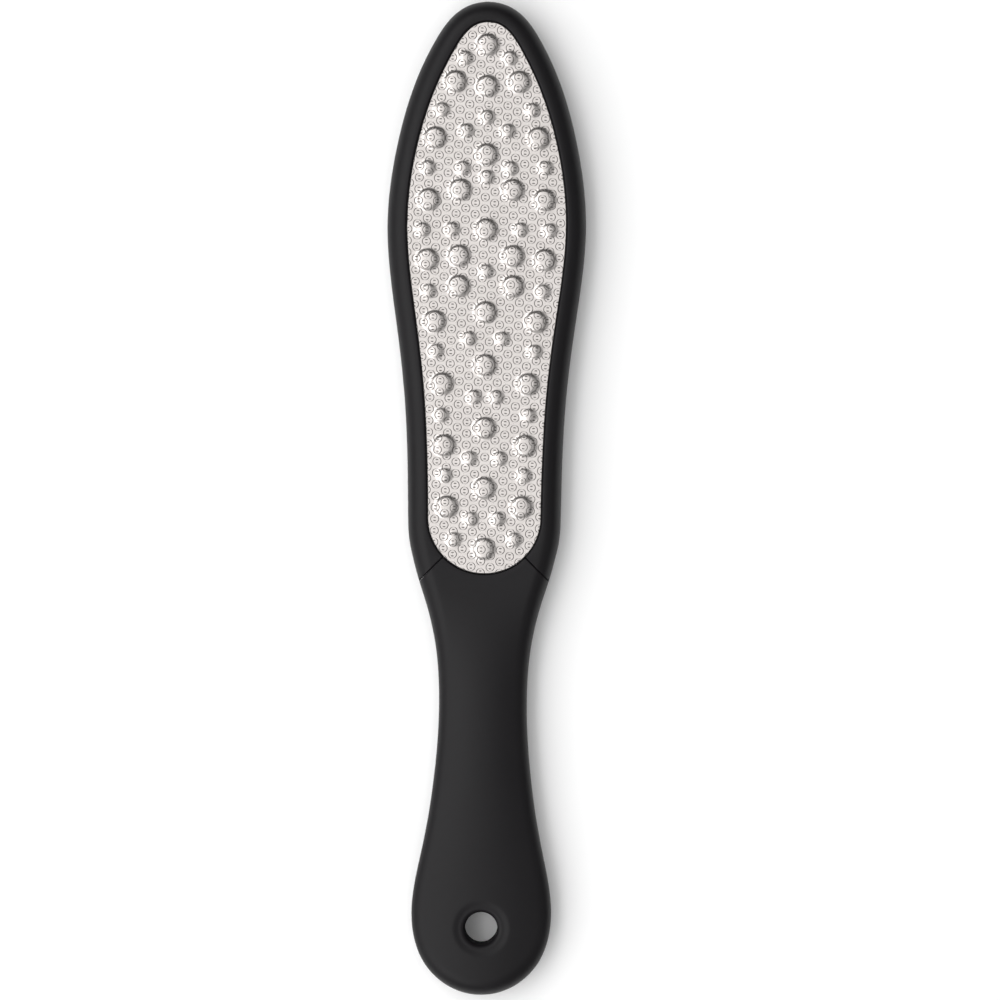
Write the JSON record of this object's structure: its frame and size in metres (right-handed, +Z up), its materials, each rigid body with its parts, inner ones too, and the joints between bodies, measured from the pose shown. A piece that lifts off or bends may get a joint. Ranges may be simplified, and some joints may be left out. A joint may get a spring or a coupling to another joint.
{
  "type": "foot file",
  "caption": "Double-sided foot file: a leaf-shaped head with a domed, etched steel plate, on a waisted, soft-touch black handle with a hang hole.",
  "frame": {"origin": "bottom centre of the tool's box, with the tool lying on its fine file plate", "axes": "+Y along the tool towards the tip of the head, +Z up out of the domed plate, +X across the tool"},
  "size_m": [0.052, 0.26, 0.0126],
  "materials": {
    "soft_touch_black": "soft-touch, evenly matte",
    "etched_steel": "satin, photo-etched rings",
    "adhesive": "matte sheet"
  },
  "bodies": {
    "root": {"head_frame": "soft_touch_black", "front_file_plate": "etched_steel", "rear_file_plate": "etched_steel", "front_adhesive_pad": "adhesive", "rear_adhesive_pad": "adhesive", "handle_front_shell": "soft_touch_black", "handle_rear_shell": "soft_touch_black"}
  },
  "joints": []
}
